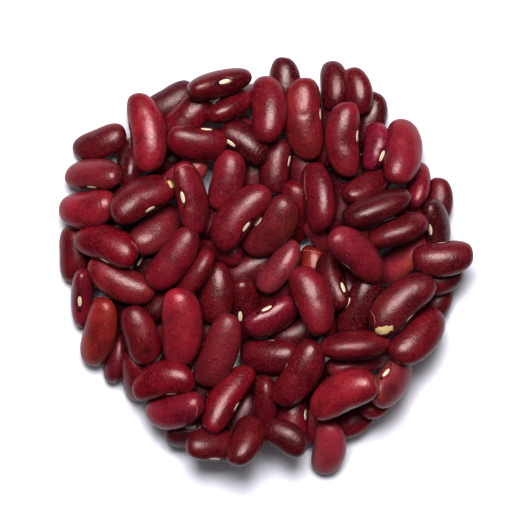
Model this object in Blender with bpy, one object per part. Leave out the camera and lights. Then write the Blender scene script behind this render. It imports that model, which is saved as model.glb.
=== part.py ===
"""A loose heap of dried red kidney beans, lying as it was poured on a flat surface.

The heap is one solid. A low flat-bottomed core carries the beans, and each bean is a closed
kidney shape with few sides. Where every bean lies, and which way it points, is read by eye
from the photograph. How high it lies, and how it tilts, follows from the beans below it.
Metres, +Z up. The origin is on the surface under the middle of the heap.
"""
import math
from collections import namedtuple

import bmesh
import bpy
import numpy as np

MM = 0.001

# The photograph looks straight down, so a place in it is a place on the table.
PIXEL = 0.25 * MM                # real size of one pixel of the photograph
MIDDLE_X, MIDDLE_Y = 259.5, 260.0    # the pixel over the origin

# A bean's proportions
THICKNESS = 0.74                 # of the width
BLUNTNESS = 0.70                 # power of the end's rounding: 1 is a plain ellipse
BEND = 0.045                     # how far most beans' ends come round, of the length
WAIST = 0.10                     # depth of the hollow on the seed scar's side, of the width
WAIST_REACH = 0.42               # half length of that hollow, of half the length

# How the beans come to rest
CELL = 0.4 * MM                  # cell of the height map
REACH = 70.0 * MM                # half the side of the height map
NEST = 0.4 * MM                  # how far a bean beds down between those under it
MAX_PITCH = 32.0                 # degrees
MAX_ROLL_CHANGE = 16.0           # degrees
MAX_SHIFT = 0.6 * MM
SHIFT_COST = 0.5 / MM            # height that a shift must win, by the square of the shift
ROLL_COST = 0.004 * MM           # the same for a squared degree of roll
SLIM = np.array([0.95, 0.84, 1.0])   # beans are let down at this share of their size
FEELERS = (28, 22)               # rings and sides of the points a bean is let down on
FILLING = (92, 60)               # and of those that it leaves in the height map
FIRST_STEP = np.array([8.0, 6.0, 0.3 * MM, 0.3 * MM])    # of pitch, roll and shift
HALVINGS = 7                     # rounds of search, each with half the step
LEAST_GAIN = 0.0001 * MM

# The fused solid
SIDES, RINGS = 6, 5              # of a bean that shows
LOWER_SIDES, LOWER_RINGS = 5, 3  # of a bean under those
CORE_RADIUS = 43.0 * MM
CORE_TOP_RADIUS = 38.0 * MM
CORE_HEIGHT = 4.0 * MM
CORE_SIDES = 28
BEAN_CLEARANCE = 0.15 * MM       # the beans stay this far above the table

# One bean as the photograph shows it: its middle in pixels, the direction of its length in
# degrees, with the seed scar on its left, how far the scar is rolled up towards the camera,
# its length and the width seen from above in millimetres, and its bend where it isn't BEND.
Bean = namedtuple("Bean", "px py heading roll length width bend", defaults=[BEND])

LOWER = (
    Bean(168, 102, 30, -20, 15.0, 8.6),
    Bean(252, 172, 80, -10, 14.5, 8.6),
    Bean(303, 167, 95, -10, 14.0, 8.6),
    Bean(295, 212, 85, -20, 17.5, 9.1),
    Bean(368, 120, 70, -20, 15.0, 8.6),
    Bean(438, 203, 80, -20, 13.0, 7.5),
    Bean(436, 224, 100, 60, 14.0, 7.0),
    Bean(348, 178, 35, -20, 15.0, 8.6),
    Bean(435, 302, 60, -20, 13.0, 8.0),
    Bean(438, 279, 20, -10, 13.0, 8.0),
    Bean(311, 273, 82, -20, 14.0, 7.9),
    Bean(248, 267, 30, -15, 17.0, 9.0),
    Bean(157, 324, 80, -20, 14.0, 8.0),
    Bean(160, 300, 60, -20, 13.0, 7.5),
    Bean(150, 270, 60, 40, 14.0, 8.0),
    Bean(190, 433, 10, 70, 13.0, 7.5),
    Bean(197, 399, 60, -20, 13.5, 8.0),
    Bean(297, 333, 20, -10, 14.5, 8.6),
    Bean(355, 417, 35, -20, 14.0, 8.6),
    Bean(312, 418, 80, -20, 14.0, 8.0),
    Bean(378, 399, 50, -20, 13.5, 7.5),
    Bean(217, 247, 155, -20, 15.5, 8.6),
    Bean(205, 332, 80, -20, 14.0, 8.0),
    Bean(170, 158, 20, -20, 14.5, 8.0),
    Bean(182, 173, 35, -20, 14.0, 8.0),
    Bean(112, 196, 40, -20, 14.0, 8.0),
    Bean(322, 234, 135, -20, 12.5, 7.7),
    Bean(340, 210, 80, -20, 14.0, 7.5),
    Bean(364, 234, 10, -20, 14.5, 8.0),
    Bean(280, 290, 40, -20, 14.5, 8.0),
    Bean(318, 386, 100, -20, 14.0, 8.0),
    Bean(325, 138, 92, -10, 16.0, 8.6),
    Bean(176, 358, 70, -10, 14.5, 8.6),
    Bean(238, 420, 60, -10, 14.5, 8.6),
    Bean(346, 322, 60, -10, 14.0, 8.0),
    Bean(352, 280, 80, -10, 13.0, 8.0),
    Bean(410, 211, 100, -10, 13.0, 7.5),
    Bean(283, 86, 85, -10, 15.0, 8.6),
    Bean(274, 380, 10, -10, 15.0, 8.6),
    Bean(388, 158, 85, -10, 13.0, 8.0),
    Bean(232, 136, 30, -10, 13.0, 8.0),
    Bean(214, 216, 80, -10, 13.0, 8.0),
    Bean(122, 309, 30, -10, 14.0, 8.0),
    Bean(122, 226, 20, -10, 13.5, 8.0),
)

MIDDLE = (
    Bean(129, 166, 88, -75, 14.5, 6.6),
    Bean(184, 114, 45, -15, 15.2, 9.0),
    Bean(233, 101, 31, -70, 18.2, 6.8),
    Bean(276, 166, 262, 10, 14.2, 8.1),
    Bean(333, 86, 92, -25, 13.0, 7.5),
    Bean(357, 93, 100, -20, 12.5, 7.5),
    Bean(420, 188, 82, -50, 13.5, 6.0),
    Bean(365, 187, 33, -40, 14.8, 7.3),
    Bean(403, 259, 38, -45, 17.5, 8.1),
    Bean(358, 306, 66, 18, 17.0, 9.8, 0.040),
    Bean(334, 282, 285, 30, 15.5, 7.7),
    Bean(247, 311, 90, 22, 18.2, 7.8, 0.040),
    Bean(216, 293, 88, -20, 15.8, 9.4, 0.020),
    Bean(72, 254, 90, -30, 14.0, 7.9),
    Bean(81, 296, 88, 80, 16.0, 6.0),
    Bean(115, 358, 80, -70, 13.0, 5.8),
    Bean(131, 376, 95, -60, 14.0, 6.6),
    Bean(213, 445, 175, 40, 15.0, 8.6, 0.040),
    Bean(263, 408, 90, -80, 17.0, 6.4),
    Bean(293, 417, 270, 8, 15.0, 8.3),
    Bean(356, 364, 12, -70, 17.4, 6.8, 0.040),
    Bean(391, 382, 52, 40, 16.0, 8.6, 0.040),
    Bean(328, 446, 82, -15, 15.6, 8.6),
    Bean(193, 275, 55, -60, 15.5, 6.8),
)

UPPER = (
    Bean(219, 87, 16, 84, 16.9, 7.0),
    Bean(95, 175, 178, 28, 16.2, 8.3, 0.030),
    Bean(101, 144, 20, -20, 14.4, 8.3),
    Bean(245, 142, 142, 22, 13.8, 8.5, 0.055),
    Bean(198, 143, 352, 18, 15.2, 9.2, 0.035),
    Bean(374, 147, 82, -40, 12.6, 6.4, 0.060),
    Bean(157, 231, 43, -10, 16.5, 9.8),
    Bean(121, 283, 332, -5, 18.7, 9.3, 0.055),
    Bean(109, 248, 160, 12, 17.5, 9.8, 0.050),
    Bean(88, 210, 8, -15, 15.8, 9.8),
    Bean(354, 344, 5, -75, 17.7, 7.3, 0.020),
    Bean(270, 355, 357, 5, 15.2, 9.3, 0.035),
    Bean(244, 441, 68, -25, 14.4, 8.5, 0.040),
    Bean(285, 436, 150, -10, 12.2, 8.1, 0.030),
    Bean(141, 335, 107, -12, 15.2, 9.1, 0.020),
    Bean(101, 330, 76, -25, 18.7, 8.9, 0.030),
    Bean(147, 132, 100, -10, 20.3, 9.7, 0.060),
    Bean(265, 112, 91, -15, 17.7, 9.3),
    Bean(305, 119, 275, 10, 20.7, 10.3, 0.040),
    Bean(344, 140, 271, 8, 18.9, 9.1, 0.075),
    Bean(399, 151, 82, 14, 18.3, 9.9, 0.045),
    Bean(225, 180, 76, -12, 15.4, 8.9, 0.040),
    Bean(192, 198, 102, 50, 18.7, 8.1, 0.040),
    Bean(142, 199, 209, 30, 17.9, 10.0, 0.060),
    Bean(238, 215, 230, 14, 19.5, 9.8, 0.060),
    Bean(270, 226, 50, 14, 18.3, 10.5, 0.055),
    Bean(318, 197, 97, -35, 17.9, 8.5, 0.040),
    Bean(375, 208, 21, -70, 18.1, 7.2, 0.020),
    Bean(398, 229, 20, -65, 16.0, 7.1, 0.030),
    Bean(354, 253, 138, 18, 17.9, 9.5, 0.050),
    Bean(442, 258, 5, -15, 15.2, 9.1),
    Bean(417, 337, 48, -10, 18.1, 10.2),
    Bean(402, 303, 222, 10, 19.9, 10.2, 0.045),
    Bean(314, 300, 110, 4, 17.9, 9.5, 0.045),
    Bean(272, 316, 28, 50, 15.0, 7.7),
    Bean(279, 268, 55, -40, 15.4, 7.3),
    Bean(176, 261, 53, -8, 18.1, 9.1, 0.035),
    Bean(182, 325, 89, 2, 20.3, 10.7, 0.030),
    Bean(218, 350, 68, -5, 20.1, 9.6, 0.030),
    Bean(164, 379, 192, 10, 16.2, 9.3, 0.095),
    Bean(175, 410, 10, -10, 16.4, 9.5, 0.050),
    Bean(229, 399, 237, 14, 20.3, 8.3, 0.055),
    Bean(299, 374, 58, -5, 18.5, 9.5, 0.055),
    Bean(345, 394, 207, 12, 18.7, 10.4, 0.065),
)


def to_table(px, py):
    """The place on the table under a pixel."""
    return (px - MIDDLE_X) * PIXEL, (MIDDLE_Y - py) * PIXEL


def true_width(seen, roll):
    """The width of a bean that shows a given width when it is rolled."""
    flat = math.cos(math.radians(roll))
    edge = THICKNESS * math.sin(math.radians(roll))
    return seen / math.hypot(flat, edge)


def bean_form(station, around, length, width, bend, swell=1.0):
    """A kidney shape from the way along it, -1 to 1, and the angle round it.

    The sections are ellipses whose size follows a power of a half circle over the length.
    Their middles run on a parabola, so the ends come round to +Y, where the seed scar's side
    also has a shallow waist.
    """
    size = np.sqrt(np.maximum(1 - station ** 2, 0.0)) ** BLUNTNESS * swell
    x = 0.5 * length * station + 0.0 * around
    spine = bend * length * (station ** 2 - 0.4)
    waist = 1 - WAIST * np.exp(-(station / WAIST_REACH) ** 2) * (1 + np.cos(around)) / 2
    y = spine + 0.5 * width * size * np.cos(around) * waist
    z = 0.5 * width * THICKNESS * size * np.sin(around)
    return np.stack([x, y, z], axis=-1)


def bean_points(length, width, bend, grid):
    """Points all over a bean drawn in a little from its flanks, as beans are let down."""
    rings, sides = grid
    along = np.linspace(0.0, math.pi, rings)[:, None]
    around = np.linspace(0.0, 2 * math.pi, sides, endpoint=False)[None, :]
    form = bean_form(-np.cos(along), around, length, width, bend)
    return form.reshape(-1, 3) * SLIM


def turned(points, heading, pitch, roll):
    """Points after a roll about X, a pitch about Y and a turn about Z, in degrees."""
    h, p, r = (math.radians(a) for a in (heading, pitch, roll))
    roll_x = np.array([[1, 0, 0], [0, math.cos(r), -math.sin(r)], [0, math.sin(r), math.cos(r)]])
    pitch_y = np.array([[math.cos(p), 0, math.sin(p)], [0, 1, 0], [-math.sin(p), 0, math.cos(p)]])
    turn_z = np.array([[math.cos(h), -math.sin(h), 0], [math.sin(h), math.cos(h), 0], [0, 0, 1]])
    return points @ (turn_z @ pitch_y @ roll_x).T


class HeightMap:
    """How high the heap is so far, on square cells."""

    def __init__(self):
        self.count = int(2 * REACH / CELL)
        self.height = np.zeros((self.count, self.count))

    def cells(self, points):
        index = ((points[:, :2] + REACH) / CELL).astype(int)
        index = np.clip(index, 0, self.count - 1)
        return index[:, 0], index[:, 1]

    def rest_height(self, points):
        """The lowest lift at which the points clear the heap."""
        return float(np.max(self.height[self.cells(points)] - points[:, 2]))

    def add(self, points):
        np.maximum.at(self.height, self.cells(points), points[:, 2])


def settle(bean, heap):
    """Let a bean down and rock, roll and nudge it until its middle lies no lower.

    Gives (x, y, z, heading, pitch, roll, length, width, bend) in metres and degrees.
    """
    x, y = to_table(bean.px, bean.py)
    length = bean.length * MM
    width = true_width(bean.width * MM, bean.roll)
    shape = bean_points(length, width, bean.bend, FEELERS)

    def cost(state):
        pitch, roll_change, dx, dy = state
        points = turned(shape, bean.heading, pitch, bean.roll + roll_change)
        points += np.array([x + dx, y + dy, 0.0])
        lift = heap.rest_height(points)
        return lift + SHIFT_COST * (dx * dx + dy * dy) + ROLL_COST * roll_change ** 2, lift

    state = np.zeros(4)
    best, lift = cost(state)
    step = FIRST_STEP
    limit = np.array([MAX_PITCH, MAX_ROLL_CHANGE, MAX_SHIFT, MAX_SHIFT])
    for _ in range(HALVINGS):
        moved = True
        while moved:
            moved = False
            for axis in range(4):
                for sign in (1, -1):
                    trial = state.copy()
                    trial[axis] += sign * step[axis]
                    if abs(trial[axis]) > limit[axis]:
                        continue
                    value, height = cost(trial)
                    if value < best - LEAST_GAIN:
                        best, lift, state, moved = value, height, trial, True
        step = step / 2
    pitch, roll_change, dx, dy = state
    roll = bean.roll + roll_change
    own_floor = -turned(shape, bean.heading, pitch, roll)[:, 2].min()
    z = max(lift - NEST, own_floor)
    return x + dx, y + dy, z, bean.heading, pitch, roll, length, width, bean.bend


def placed(points, pose):
    """A bean's own points where the bean lies."""
    x, y, z, heading, pitch, roll = pose[:6]
    return turned(points, heading, pitch, roll) + np.array([x, y, z])


def lay(pose, heap):
    """Add a settled bean to the height map."""
    heap.add(placed(bean_points(*pose[6:], FILLING), pose))


def all_poses():
    """Every bean's resting place, from the table upwards."""
    heap = HeightMap()
    poses = []
    for bean in LOWER + MIDDLE + UPPER:
        poses.append(settle(bean, heap))
        lay(poses[-1], heap)
    return poses


def skin_material():
    """Satin dark red bean skin."""
    material = bpy.data.materials.new("bean_skin")
    material.use_nodes = True
    shader = material.node_tree.nodes["Principled BSDF"]
    shader.inputs["Base Color"].default_value = (0.125, 0.012, 0.018, 1.0)
    shader.inputs["Roughness"].default_value = 0.38
    shader.inputs["Metallic"].default_value = 0.0
    return material


def bean_object(name, pose, sides, rings, collection):
    """One bean: a coarse globe whose points are moved onto the kidney form where it lies."""
    shape = bmesh.new()
    bmesh.ops.create_uvsphere(shape, u_segments=sides, v_segments=rings + 1, radius=1.0)
    globe = np.array([vertex.co for vertex in shape.verts])
    around = np.arctan2(globe[:, 1], globe[:, 0])
    swell = 1 / math.cos(math.pi / sides)
    points = placed(bean_form(globe[:, 2], around, *pose[6:], swell), pose)
    points[:, 2] = np.maximum(points[:, 2], BEAN_CLEARANCE)
    for vertex, point in zip(shape.verts, points):
        vertex.co = point
    bmesh.ops.triangulate(shape, faces=shape.faces)
    mesh = bpy.data.meshes.new(name)
    shape.to_mesh(mesh)
    shape.free()
    collection.objects.link(bpy.data.objects.new(name, mesh))


def core_object(collection):
    """The low mound inside the heap, with the flat underside that it rests on."""
    shape = bmesh.new()
    bmesh.ops.create_cone(shape, cap_ends=True, segments=CORE_SIDES, radius1=CORE_RADIUS,
                          radius2=CORE_TOP_RADIUS, depth=CORE_HEIGHT)
    bmesh.ops.translate(shape, verts=shape.verts, vec=(0.0, 0.0, CORE_HEIGHT / 2))
    bmesh.ops.triangulate(shape, faces=shape.faces)
    mesh = bpy.data.meshes.new("beans")
    shape.to_mesh(mesh)
    shape.free()
    core = bpy.data.objects.new("beans", mesh)
    collection.objects.link(core)
    return core


def keep_outer_shell(mesh):
    """Drop sealed hollows and loose scraps: keep the one shell with the largest volume."""
    shape = bmesh.new()
    shape.from_mesh(mesh)
    bmesh.ops.triangulate(shape, faces=shape.faces)
    unseen = set(shape.faces)
    shells = []
    while unseen:
        front = [unseen.pop()]
        shell = []
        while front:
            face = front.pop()
            shell.append(face)
            for edge in face.edges:
                for other in edge.link_faces:
                    if other in unseen:
                        unseen.remove(other)
                        front.append(other)
        shells.append(shell)

    def volume(shell):
        return sum(f.verts[0].co.dot(f.verts[1].co.cross(f.verts[2].co)) / 6 for f in shell)

    shells.sort(key=volume, reverse=True)
    spare = [face for shell in shells[1:] for face in shell]
    bmesh.ops.delete(shape, geom=spare, context="FACES")
    shape.to_mesh(mesh)
    shape.free()


def fuse(core, beans):
    """Join the beans to the core with one union, then remove the separate beans."""
    union = core.modifiers.new("join_beans", "BOOLEAN")
    union.operation = "UNION"
    union.operand_type = "COLLECTION"
    union.collection = beans
    union.solver = "MANIFOLD"
    graph = bpy.context.evaluated_depsgraph_get()
    joined = bpy.data.meshes.new_from_object(core.evaluated_get(graph))
    core.modifiers.clear()
    core.data = joined
    core.data.name = "beans"
    for bean in list(beans.objects):
        bpy.data.objects.remove(bean, do_unlink=True)
    bpy.data.collections.remove(beans)


def build():
    for old in list(bpy.data.objects):
        bpy.data.objects.remove(old, do_unlink=True)
    heap = bpy.data.collections.new("bean_heap")
    loose = bpy.data.collections.new("loose_beans")
    bpy.context.scene.collection.children.link(heap)
    bpy.context.scene.collection.children.link(loose)
    core = core_object(heap)
    poses = all_poses()
    for number, pose in enumerate(poses):
        fineness = (LOWER_SIDES, LOWER_RINGS) if number < len(LOWER) else (SIDES, RINGS)
        bean_object(f"bean_{number:03d}", pose, *fineness, loose)
    fuse(core, loose)
    keep_outer_shell(core.data)
    core.data.materials.clear()
    core.data.materials.append(skin_material())
    core.data.shade_flat()
    return poses


POSES = build()
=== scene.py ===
"""The looks of a loose heap of dried red kidney beans on a pale table, seen from above.

Every bean is a fine kidney form with its own tone, dents, seed scar and sheen. Where a bean
lies is read from the photograph. How high it lies, and how it tilts, follows from the
beans below it, by the same rule as in the part's own source. Metres, +Z up.
"""
import math
from collections import namedtuple

import bpy
import numpy as np
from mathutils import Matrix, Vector


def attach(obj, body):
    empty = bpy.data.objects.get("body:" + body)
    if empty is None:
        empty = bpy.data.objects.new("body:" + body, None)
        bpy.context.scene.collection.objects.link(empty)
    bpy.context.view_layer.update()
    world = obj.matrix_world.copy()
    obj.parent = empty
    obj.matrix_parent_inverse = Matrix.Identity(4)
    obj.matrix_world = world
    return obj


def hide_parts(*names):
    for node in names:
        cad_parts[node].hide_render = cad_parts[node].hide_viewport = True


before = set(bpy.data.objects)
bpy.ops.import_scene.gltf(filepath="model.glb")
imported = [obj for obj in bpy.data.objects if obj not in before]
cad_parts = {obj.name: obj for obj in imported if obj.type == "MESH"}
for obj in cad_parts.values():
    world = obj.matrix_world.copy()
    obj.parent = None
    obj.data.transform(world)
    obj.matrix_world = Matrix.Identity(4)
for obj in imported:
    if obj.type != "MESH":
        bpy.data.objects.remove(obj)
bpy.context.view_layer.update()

MM = 0.001

# The photograph looks straight down, so a place in it is a place on the table.
PIXEL = 0.25 * MM                # real size of one pixel of the photograph
MIDDLE_X = 259.5                 # the pixel over the origin
MIDDLE_Y = 260.0
PHOTO_SIZE = 520                 # pixels

# A bean's proportions
THICKNESS = 0.74                 # of its width
BLUNTNESS = 0.70                 # power of a half circle: below 1 fills the ends out
BEND = 0.045                     # rise of its middle line, of its length
BEND_LEVEL = 0.4                 # where on that rise the bean's own origin lies
WAIST = 0.10                     # how far the seed scar's side is drawn in
WAIST_REACH = 0.42               # of half the length

# How the beans come to rest: as in the part's source, with angles in degrees
CELL = 0.4 * MM                  # of the height map
REACH = 70.0 * MM                # half the side of the height map
NEST = 0.4 * MM                  # how deep a bean beds into those below it
MAX_PITCH = 32.0
MAX_ROLL_CHANGE = 16.0
MAX_SHIFT = 0.6 * MM
SHIFT_COST = 0.5 / MM
ROLL_COST = 0.004 * MM
SLIM = np.array([0.95, 0.84, 1.0])    # how much of a bean's length, width and thickness touches
FEELERS = (28, 22)               # rings and sides of the points that feel the heap
FILLING = (92, 60)               # rings and sides of the points that fill the height map
FIRST_STEP = np.array([8.0, 6.0, 0.3 * MM, 0.3 * MM])    # pitch, roll and two shifts
HALVINGS = 7
LEAST_GAIN = 0.0001 * MM

# Skin tones, as red, green and blue in linear light
# Painted shade: a near-black wine tone, darker than the beans' own, for beans down in the heap's
# crevices
WINE_AND_PAINTED_SHADE = (0.022, 0.0004, 0.0019)
# Partly painted shade: a dark damson tone for beans deep in the heap, darkened for the shade over
# them
DAMSON_AND_PAINTED_SHADE = (0.046, 0.0007, 0.0045)
OXBLOOD = (0.059, 0.0009, 0.0045)
MAROON = (0.083, 0.0014, 0.0063)
UMBER = (0.091, 0.0035, 0.0103)
CARMINE = (0.106, 0.0015, 0.0080)
CRIMSON = (0.108, 0.0022, 0.0095)
RUBY = (0.125, 0.0030, 0.0119)
MULBERRY = (0.140, 0.0049, 0.0147)
GARNET = (0.127, 0.0009, 0.0085)
PLUM = (0.131, 0.0095, 0.0166)
BRICK = (0.140, 0.0071, 0.0119)
CHERRY = (0.148, 0.0051, 0.0181)
MAGENTA = (0.148, 0.0028, 0.0230)
DUSKY = (0.170, 0.0200, 0.0300)
ROSE = (0.182, 0.0079, 0.0182)
RUSSET = (0.193, 0.0120, 0.0111)
SCARLET = (0.213, 0.0101, 0.0232)
# Partly painted light: a pale salmon tone, lighter than the beans' own, for lower beans in the shade
# of those above
SALMON_AND_PAINTED_LIGHT = (0.218, 0.0186, 0.0337)

# One bean: its middle in pixels, the direction of its length in degrees, with the seed scar
# on its left, how far the scar is rolled up towards the camera, its length and the width seen
# from above in millimetres, its tone, and its bend where it isn't BEND
Bean = namedtuple("Bean", "px py heading roll length width tone bend", defaults=[BEND])

# Many lower beans' tones are partly painted shade, darker for the shade over them, and a few are
# partly painted light
LOWER = (
    Bean(168, 102, 30, -20, 15.0, 8.6, DAMSON_AND_PAINTED_SHADE),
    Bean(252, 172, 80, -10, 14.5, 8.6, MAROON),
    Bean(303, 167, 95, -10, 14.0, 8.6, UMBER),
    Bean(295, 212, 85, -20, 17.5, 9.1, GARNET),
    Bean(368, 120, 70, -20, 15.0, 8.6, OXBLOOD),
    Bean(438, 203, 80, -20, 13.0, 7.5, MAROON),
    Bean(436, 224, 100, 60, 14.0, 7.0, DAMSON_AND_PAINTED_SHADE),
    Bean(348, 178, 35, -20, 15.0, 8.6, WINE_AND_PAINTED_SHADE),
    Bean(435, 302, 60, -20, 13.0, 8.0, MAROON),
    Bean(438, 279, 20, -10, 13.0, 8.0, MAROON),
    Bean(311, 273, 82, -20, 14.0, 7.9, RUSSET),
    Bean(248, 267, 30, -15, 17.0, 9.0, UMBER),
    Bean(157, 324, 80, -20, 14.0, 8.0, ROSE),
    Bean(160, 300, 60, -20, 13.0, 7.5, DAMSON_AND_PAINTED_SHADE),
    Bean(150, 270, 60, 40, 14.0, 8.0, WINE_AND_PAINTED_SHADE),
    Bean(190, 433, 10, 70, 13.0, 7.5, OXBLOOD),
    Bean(197, 399, 60, -20, 13.5, 8.0, WINE_AND_PAINTED_SHADE),
    Bean(297, 333, 20, -10, 14.5, 8.6, OXBLOOD),
    Bean(355, 417, 35, -20, 14.0, 8.6, RUBY),
    Bean(312, 418, 80, -20, 14.0, 8.0, CHERRY),
    Bean(378, 399, 50, -20, 13.5, 7.5, ROSE),
    Bean(217, 247, 155, -20, 15.5, 8.6, CHERRY),
    Bean(205, 332, 80, -20, 14.0, 8.0, CRIMSON),
    Bean(170, 158, 20, -20, 14.5, 8.0, WINE_AND_PAINTED_SHADE),
    Bean(182, 173, 35, -20, 14.0, 8.0, SALMON_AND_PAINTED_LIGHT),
    Bean(112, 196, 40, -20, 14.0, 8.0, MAROON),
    Bean(322, 234, 135, -20, 12.5, 7.7, SALMON_AND_PAINTED_LIGHT),
    Bean(340, 210, 80, -20, 14.0, 7.5, DAMSON_AND_PAINTED_SHADE),
    Bean(364, 234, 10, -20, 14.5, 8.0, SALMON_AND_PAINTED_LIGHT),
    Bean(280, 290, 40, -20, 14.5, 8.0, MAROON),
    Bean(318, 386, 100, -20, 14.0, 8.0, WINE_AND_PAINTED_SHADE),
    Bean(325, 138, 92, -10, 16.0, 8.6, DAMSON_AND_PAINTED_SHADE),
    Bean(176, 358, 70, -10, 14.5, 8.6, ROSE),
    Bean(238, 420, 60, -10, 14.5, 8.6, DAMSON_AND_PAINTED_SHADE),
    Bean(346, 322, 60, -10, 14.0, 8.0, ROSE),
    Bean(352, 280, 80, -10, 13.0, 8.0, CARMINE),
    Bean(410, 211, 100, -10, 13.0, 7.5, ROSE),
    Bean(283, 86, 85, -10, 15.0, 8.6, DAMSON_AND_PAINTED_SHADE),
    Bean(274, 380, 10, -10, 15.0, 8.6, WINE_AND_PAINTED_SHADE),
    Bean(388, 158, 85, -10, 13.0, 8.0, MAROON),
    Bean(232, 136, 30, -10, 13.0, 8.0, SALMON_AND_PAINTED_LIGHT),
    Bean(214, 216, 80, -10, 13.0, 8.0, DAMSON_AND_PAINTED_SHADE),
    Bean(122, 309, 30, -10, 14.0, 8.0, WINE_AND_PAINTED_SHADE),
    Bean(122, 226, 20, -10, 13.5, 8.0, OXBLOOD),
)

# Some middle beans' salmon tone is partly painted light, for the shade of the beans above them
MIDDLE = (
    Bean(129, 166, 88, -75, 14.5, 6.6, OXBLOOD),
    Bean(184, 114, 45, -15, 15.2, 9.0, CARMINE),
    Bean(233, 101, 31, -70, 18.2, 6.8, CARMINE),
    Bean(276, 166, 262, 10, 14.2, 8.1, MAROON),
    Bean(333, 86, 92, -25, 13.0, 7.5, OXBLOOD),
    Bean(357, 93, 100, -20, 12.5, 7.5, MAROON),
    Bean(420, 188, 82, -50, 13.5, 6.0, CHERRY),
    Bean(365, 187, 33, -40, 14.8, 7.3, MAROON),
    Bean(403, 259, 38, -45, 17.5, 8.1, SALMON_AND_PAINTED_LIGHT),
    Bean(358, 306, 66, 18, 17.0, 9.8, OXBLOOD, 0.040),
    Bean(334, 282, 285, 30, 15.5, 7.7, MAROON),
    Bean(247, 311, 90, 22, 18.2, 7.8, MAROON, 0.040),
    Bean(216, 293, 88, -20, 15.8, 9.4, MAROON, 0.020),
    Bean(72, 254, 90, -30, 14.0, 7.9, CARMINE),
    Bean(81, 296, 88, 80, 16.0, 6.0, CHERRY),
    Bean(115, 358, 80, -70, 13.0, 5.8, UMBER),
    Bean(131, 376, 95, -60, 14.0, 6.6, CARMINE),
    Bean(213, 445, 175, 40, 15.0, 8.6, MAROON, 0.040),
    Bean(263, 408, 90, -80, 17.0, 6.4, CRIMSON),
    Bean(293, 417, 270, 8, 15.0, 8.3, RUBY),
    Bean(356, 364, 12, -70, 17.4, 6.8, SALMON_AND_PAINTED_LIGHT, 0.040),
    Bean(391, 382, 52, 40, 16.0, 8.6, DUSKY, 0.040),
    Bean(328, 446, 82, -15, 15.6, 8.6, SALMON_AND_PAINTED_LIGHT),
    Bean(193, 275, 55, -60, 15.5, 6.8, CARMINE),
)

UPPER = (
    Bean(219, 87, 16, 84, 16.9, 7.0, MAROON),
    Bean(95, 175, 178, 28, 16.2, 8.3, PLUM, 0.030),
    Bean(101, 144, 20, -20, 14.4, 8.3, MAROON),
    Bean(245, 142, 142, 22, 13.8, 8.5, OXBLOOD, 0.055),
    Bean(198, 143, 352, 18, 15.2, 9.2, CARMINE, 0.035),
    Bean(374, 147, 82, -40, 12.6, 6.4, MAGENTA, 0.060),
    Bean(157, 231, 43, -10, 16.5, 9.8, PLUM),
    Bean(121, 283, 332, -5, 18.7, 9.3, BRICK, 0.055),
    Bean(109, 248, 160, 12, 17.5, 9.8, GARNET, 0.050),
    Bean(88, 210, 8, -15, 15.8, 9.8, ROSE),
    Bean(354, 344, 5, -75, 17.7, 7.3, CRIMSON, 0.020),
    Bean(270, 355, 357, 5, 15.2, 9.3, MAROON, 0.035),
    Bean(244, 441, 68, -25, 14.4, 8.5, MAROON, 0.040),
    Bean(285, 436, 150, -10, 12.2, 8.1, OXBLOOD, 0.030),
    Bean(141, 335, 107, -12, 15.2, 9.1, CARMINE, 0.020),
    Bean(101, 330, 76, -25, 18.7, 8.9, RUSSET, 0.030),
    Bean(147, 132, 100, -10, 20.3, 9.7, ROSE, 0.060),
    Bean(265, 112, 91, -15, 17.7, 9.3, RUBY),
    Bean(305, 119, 275, 10, 20.7, 10.3, BRICK, 0.040),
    Bean(344, 140, 271, 8, 18.9, 9.1, MULBERRY, 0.075),
    Bean(399, 151, 82, 14, 18.3, 9.9, CHERRY, 0.045),
    Bean(225, 180, 76, -12, 15.4, 8.9, MULBERRY, 0.040),
    Bean(192, 198, 102, 50, 18.7, 8.1, MULBERRY, 0.040),
    Bean(142, 199, 209, 30, 17.9, 10.0, CARMINE, 0.060),
    Bean(238, 215, 230, 14, 19.5, 9.8, RUBY, 0.060),
    Bean(270, 226, 50, 14, 18.3, 10.5, PLUM, 0.055),
    Bean(318, 197, 97, -35, 17.9, 8.5, RUBY, 0.040),
    Bean(375, 208, 21, -70, 18.1, 7.2, OXBLOOD, 0.020),
    Bean(398, 229, 20, -65, 16.0, 7.1, MAROON, 0.030),
    Bean(354, 253, 138, 18, 17.9, 9.5, CHERRY, 0.050),
    Bean(442, 258, 5, -15, 15.2, 9.1, UMBER),
    Bean(417, 337, 48, -10, 18.1, 10.2, CRIMSON),
    Bean(402, 303, 222, 10, 19.9, 10.2, UMBER, 0.045),
    Bean(314, 300, 110, 4, 17.9, 9.5, MULBERRY, 0.045),
    Bean(272, 316, 28, 50, 15.0, 7.7, CHERRY),
    Bean(279, 268, 55, -40, 15.4, 7.3, DUSKY),
    Bean(176, 261, 53, -8, 18.1, 9.1, RUBY, 0.035),
    Bean(182, 325, 89, 2, 20.3, 10.7, SCARLET, 0.030),
    Bean(218, 350, 68, -5, 20.1, 9.6, PLUM, 0.030),
    Bean(164, 379, 192, 10, 16.2, 9.3, GARNET, 0.095),
    Bean(175, 410, 10, -10, 16.4, 9.5, CHERRY, 0.050),
    Bean(229, 399, 237, 14, 20.3, 8.3, GARNET, 0.055),
    Bean(299, 374, 58, -5, 18.5, 9.5, CRIMSON, 0.055),
    Bean(345, 394, 207, 12, 18.7, 10.4, ROSE, 0.065),
)

# Where the skin is chipped down to the pale seed: pixel, half length and half width in
# millimetres, the direction of its length in degrees, and the middle pixel of its bean
Chip = namedtuple("Chip", "px py half_length half_width heading bean")

CHIPS = (
    Chip(382, 330, 2.5, 1.05, 14, (402, 303)),
    Chip(171, 184, 0.9, 0.5, -55, (142, 199)),
)

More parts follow.
